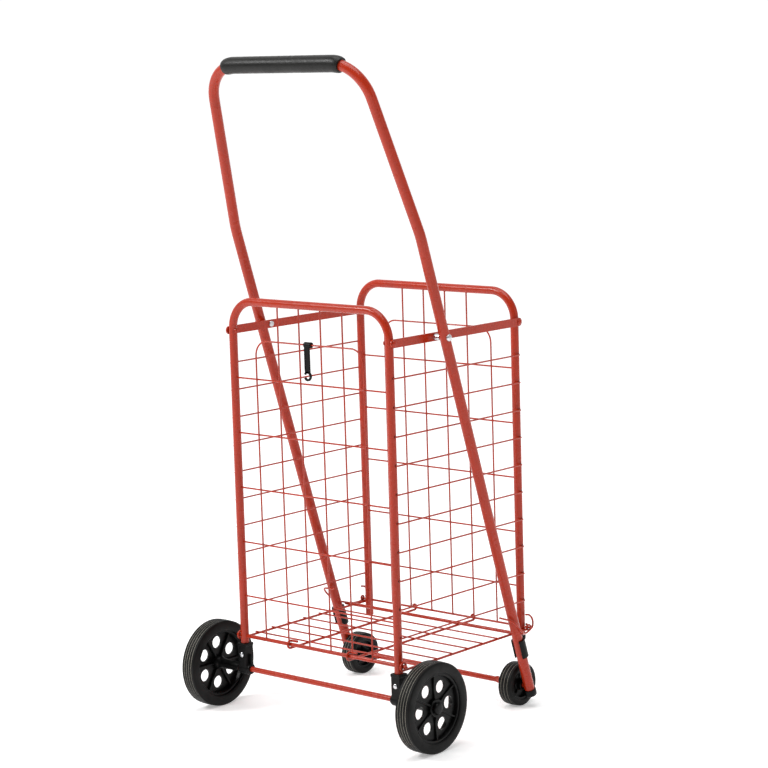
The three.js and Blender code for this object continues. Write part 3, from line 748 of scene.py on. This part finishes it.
pair("seat_clip_channel", seat_clip, BLACK, "handle", "black_plastic", "seat_clip", bevel=0.4)
pair("leg_boot", end_cap, BLACK, "handle", "black_plastic", "handle_end_cap")
CRIMP_X = SMALL_X - 35
piece("front_axle_bar", crimped_axle(HANDLE_X + 2.5, CRIMP_X, SMALL_Y, SMALL_R, LEAN), RED, "handle",
      "red_paint", ("front_axle",))


# ---------- lock hooks ----------
def lock_hook():
    """Finger bow, one coil round the low wire, and an arm that goes round behind the handle leg."""
    x0, pitch, radius = 160.9, 3.4, 3.7

    def at(x, forward, up):
        return Vector((x, FRONT_Y + forward, FLOOR_Z + up))

    coil = []
    for i in range(13):
        a = -math.pi / 2 - i * 2 * math.pi / 12
        coil.append(at(x0 + pitch * i / 12, radius * math.cos(a), radius * math.sin(a)))
    path = [
        at(x0, -3.5, 19.5), at(x0, 3.5, 17.6), at(x0, 9.8, 12), at(x0, 12.2, 5), at(x0, 10.5, -1.5),
        at(x0, 5.5, -4.2), *coil, at(165.6, -6.5, -5), at(168.5, -17, -5), at(174.5, -28, -2.5),
        at(181, -36.5, 0.5), at(186, -43.5, 5), at(186.5, -50, 10.5), at(186.5, -55.5, 16),
        at(185.4, -60.8, 21.8), at(181, -64.2, 25.4), at(172, -65.0, 26.4), at(161.5, -64.6, 26.8),
    ]
    return Shape().sweep(curve(path, 5), 1.4, 12, round_ends=True)


pair("hook_wire", lock_hook, RED, "lock_hook_{}", "red_paint", "lock_hook")


# ---------- storage clip ----------
def storage_clip():
    y = REAR_Y - LAP
    shape = Shape()
    shape.lathe([(-6.5, 1.75), (-6.5, 3.6), (-5.9, 4.2), (5.9, 4.2), (6.5, 3.6), (6.5, 1.75)],
                y, U_Z, 32, closed=True)
    z = 505.0
    strap = [(-4.6, z + 4), (4.6, z + 4), (4.6, U_Z - 2), (-4.6, U_Z - 2)]
    shape.plate([strap], y - 4, y - 1.6, lambda u, v, w: (u, w, v))
    start, end = math.radians(155), math.radians(-155)
    angles = [start + (end - start) * i / 30 for i in range(31)]
    hook = [(7 * math.cos(a), z + 7 * math.sin(a)) for a in angles]
    hook += [(4 * math.cos(a), z + 4 * math.sin(a)) for a in reversed(angles)]
    shape.plate([hook], y - 4, y - 1.6, lambda u, v, w: (u, w, v))
    for x in (-3.8, 3.8):
        shape.box(x - 0.7, x + 0.7, y - 4.5, y - 3.8, z + 8, U_Z - 5)
    return shape


piece("storage_clip_strap", storage_clip(), BLACK, "storage_clip", "black_plastic", ("storage_clip",),
      bevel=0.35)

# ---------- floor, light and camera ----------
floor_shape = Shape().box(-30000, 30000, -30000, 30000, -20, 0)
floor_mesh = bpy.data.meshes.new("floor")
floor_mesh.from_pydata([v * MM for v in floor_shape.verts], [], floor_shape.faces)
floor = bpy.data.objects.new("floor", floor_mesh)
bpy.context.scene.collection.objects.link(floor)
pale = bpy.data.materials.new("pale_floor")
pale.use_nodes = True
pale_shader = pale.node_tree.nodes["Principled BSDF"]
pale_shader.inputs["Base Color"].default_value = (0.93, 0.93, 0.93, 1.0)
pale_shader.inputs["Roughness"].default_value = 0.9
pale_shader.inputs["Specular IOR Level"].default_value = 0.1
pale_shader.inputs["Emission Color"].default_value = (1.0, 1.0, 1.0, 1.0)
pale_nodes, pale_links = pale.node_tree.nodes, pale.node_tree.links
spot = pale_nodes.new("ShaderNodeTexCoord")
away = pale_nodes.new("ShaderNodeVectorMath")
away.operation = "LENGTH"
lift = pale_nodes.new("ShaderNodeMapRange")
for key, number in (("From Min", 0.7), ("From Max", 3.0), ("To Min", 0.34), ("To Max", 0.60)):
    lift.inputs[key].default_value = number
pale_links.new(spot.outputs["Object"], away.inputs[0])
pale_links.new(away.outputs["Value"], lift.inputs["Value"])
pale_links.new(lift.outputs["Result"], pale_shader.inputs["Emission Strength"])
floor_mesh.materials.append(pale)

# The studio: a bright backdrop on one side of the room and a darker room on the other.
world = bpy.data.worlds.new("studio")
bpy.context.scene.world = world
world.use_nodes = True
world_nodes, world_links = world.node_tree.nodes, world.node_tree.links
direction = world_nodes.new("ShaderNodeTexCoord")
toward = world_nodes.new("ShaderNodeVectorMath")
toward.operation = "DOT_PRODUCT"
toward.inputs[1].default_value = (-0.665, 0.747, 0.0)
glow = world_nodes.new("ShaderNodeMapRange")
for key, number in (("From Min", -0.1), ("From Max", 0.75), ("To Min", 0.22), ("To Max", 1.05)):
    glow.inputs[key].default_value = number
world_links.new(direction.outputs["Generated"], toward.inputs[0])
world_links.new(toward.outputs["Value"], glow.inputs["Value"])
world_links.new(glow.outputs["Result"], world_nodes["Background"].inputs["Strength"])
world_nodes["Background"].inputs["Color"].default_value = (1.0, 1.0, 1.0, 1.0)


def area_light(name, place, target, size, power):
    data = bpy.data.lights.new(name, "AREA")
    data.shape = "SQUARE"
    data.size = size
    data.energy = power
    obj = bpy.data.objects.new(name, data)
    obj.location = place
    obj.rotation_euler = (Vector(target) - Vector(place)).to_track_quat("-Z", "Y").to_euler()
    bpy.context.scene.collection.objects.link(obj)


area_light("key", (-1.8, -2.2, 2.6), (0, 0, 0.5), 1.0, 66)
area_light("top", (0.2, -0.3, 3.2), (0, 0, 0.3), 2.2, 52)
area_light("fill", (3.0, 0.6, 1.5), (0, 0, 0.5), 1.4, 6)

CAMERA_AT = (2.2953, -2.5355, 0.9785)
LENS = 113.41734
AZ, DOWN, ROLL = math.radians(41.677), math.radians(8.32), math.radians(-1.716)
look = Vector((-math.sin(AZ) * math.cos(DOWN), math.cos(AZ) * math.cos(DOWN), -math.sin(DOWN)))
right = Vector((math.cos(AZ), math.sin(AZ), 0))
up = right.cross(look)
right, up = (right * math.cos(ROLL) + up * math.sin(ROLL), up * math.cos(ROLL) - right * math.sin(ROLL))
lens = bpy.data.cameras.new("camera")
lens.sensor_width = 36.0
lens.lens = LENS
camera = bpy.data.objects.new("camera", lens)
turn = Matrix((right, up, -look)).transposed().to_4x4()
camera.matrix_world = Matrix.Translation(CAMERA_AT) @ turn
bpy.context.scene.collection.objects.link(camera)
bpy.context.scene.camera = camera
bpy.context.scene.view_settings.view_transform = "Standard"
